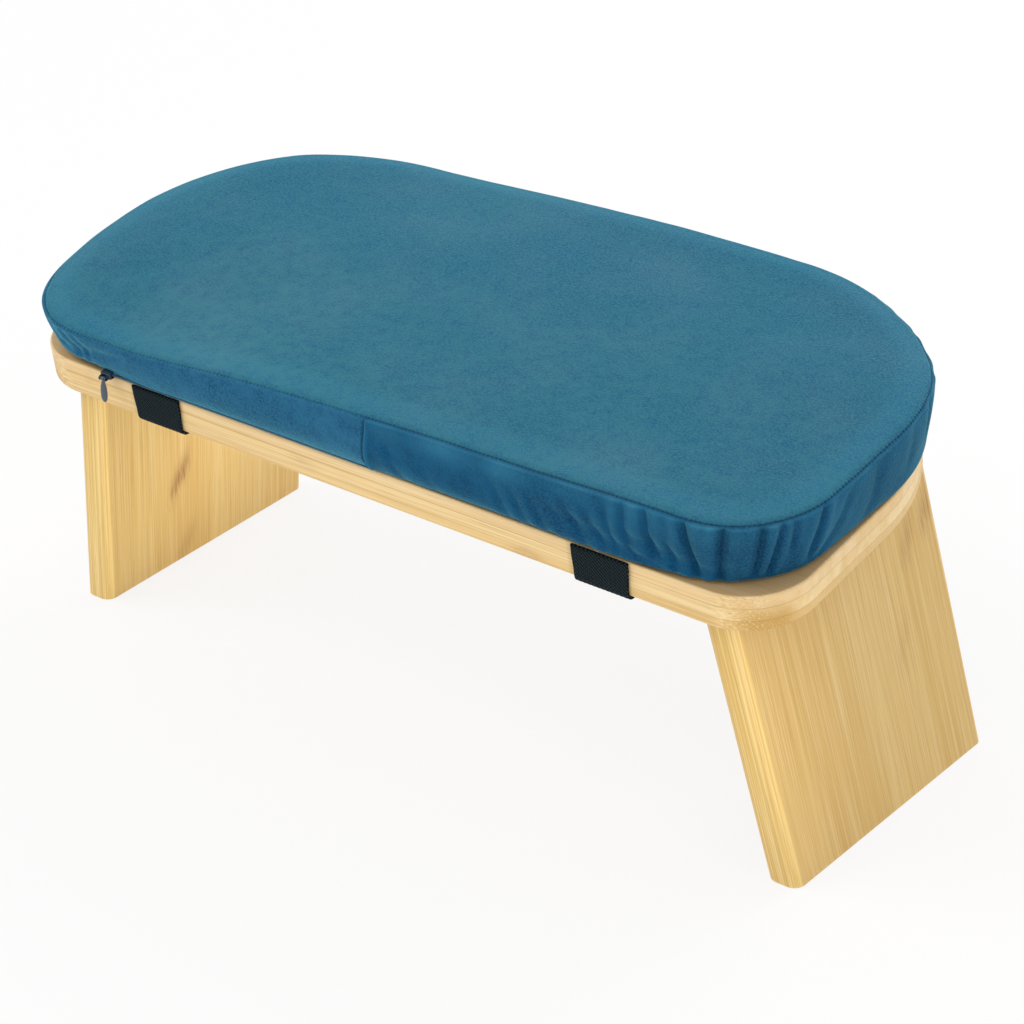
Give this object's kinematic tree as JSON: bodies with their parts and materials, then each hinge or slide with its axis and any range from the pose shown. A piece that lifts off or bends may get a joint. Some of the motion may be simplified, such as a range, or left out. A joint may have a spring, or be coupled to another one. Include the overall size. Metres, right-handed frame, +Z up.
{
  "type": "folding meditation bench",
  "caption": "Low kneeling bench: D-shaped bamboo seat tilted forward on splayed legs that fold in under it, with a velvet cushion strapped on top.",
  "frame": {"origin": "on the floor, under the middle of the bounding box", "axes": "+X along the seat, +Y from the low front edge to the rear, +Z up"},
  "size_m": [0.473, 0.2228, 0.2294],
  "materials": {
    "seat_bamboo": "satin lacquered bamboo",
    "leg_bamboo": "satin lacquered bamboo, edge-glued strips",
    "hinge_steel": "zinc plated",
    "screw_steel": "zinc plated",
    "velvet": "short-pile velvet",
    "foam": "open-cell foam",
    "elastic": "ribbed woven elastic",
    "zip_tape": "moulded coil",
    "zip_metal": "painted to match the cover"
  },
  "bodies": {
    "seat": {"seat_board": "seat_bamboo", "left_front_hinge_seat_leaf": "hinge_steel", "left_front_hinge_seat_screws": "screw_steel", "left_front_hinge_pin": "hinge_steel", "left_rear_hinge_seat_leaf": "hinge_steel", "left_rear_hinge_seat_screws": "screw_steel", "left_rear_hinge_pin": "hinge_steel", "right_front_hinge_seat_leaf": "hinge_steel", "right_front_hinge_seat_screws": "screw_steel", "right_front_hinge_pin": "hinge_steel", "right_rear_hinge_seat_leaf": "hinge_steel", "right_rear_hinge_seat_screws": "screw_steel", "right_rear_hinge_pin": "hinge_steel", "foam_core": "foam", "cover_top_panel": "velvet", "cover_zip_band": "velvet", "cover_gathered_band": "velvet", "cover_bottom_panel": "velvet", "left_strap": "elastic", "right_strap": "elastic", "zip_coil": "zip_tape"},
    "left_leg": {"left_leg": "leg_bamboo", "left_front_hinge_leg_leaf": "hinge_steel", "left_front_hinge_leg_screws": "screw_steel", "left_rear_hinge_leg_leaf": "hinge_steel", "left_rear_hinge_leg_screws": "screw_steel"},
    "right_leg": {"right_leg": "leg_bamboo", "right_front_hinge_leg_leaf": "hinge_steel", "right_front_hinge_leg_screws": "screw_steel", "right_rear_hinge_leg_leaf": "hinge_steel", "right_rear_hinge_leg_screws": "screw_steel"},
    "zip_slider": {"zip_slider": "zip_metal", "zip_pull_pin": "zip_metal"},
    "zip_pull": {"zip_pull": "zip_metal"}
  },
  "joints": [
    {"name": "left_leg_fold", "type": "hinge", "parent": "seat", "child": "left_leg", "pos_m": [-0.18303, -0.04763, 0.14795], "axis": [0, -0.989, -0.1478], "range_deg": [0, 101]},
    {"name": "right_leg_fold", "type": "hinge", "parent": "seat", "child": "right_leg", "pos_m": [0.18303, -0.04763, 0.14795], "axis": [0, 0.989, 0.1478], "range_deg": [0, 101]},
    {"name": "zip_slide", "type": "slide", "parent": "seat", "child": "zip_slider", "axis": [1, 0, 0], "range_m": [0, 0.167]},
    {"name": "zip_pull_swing", "type": "hinge", "parent": "zip_slider", "child": "zip_pull", "pos_m": [-0.165, -0.10952, 0.16499], "axis": [-1, 0, 0], "range_deg": [-15, 120]}
  ]
}
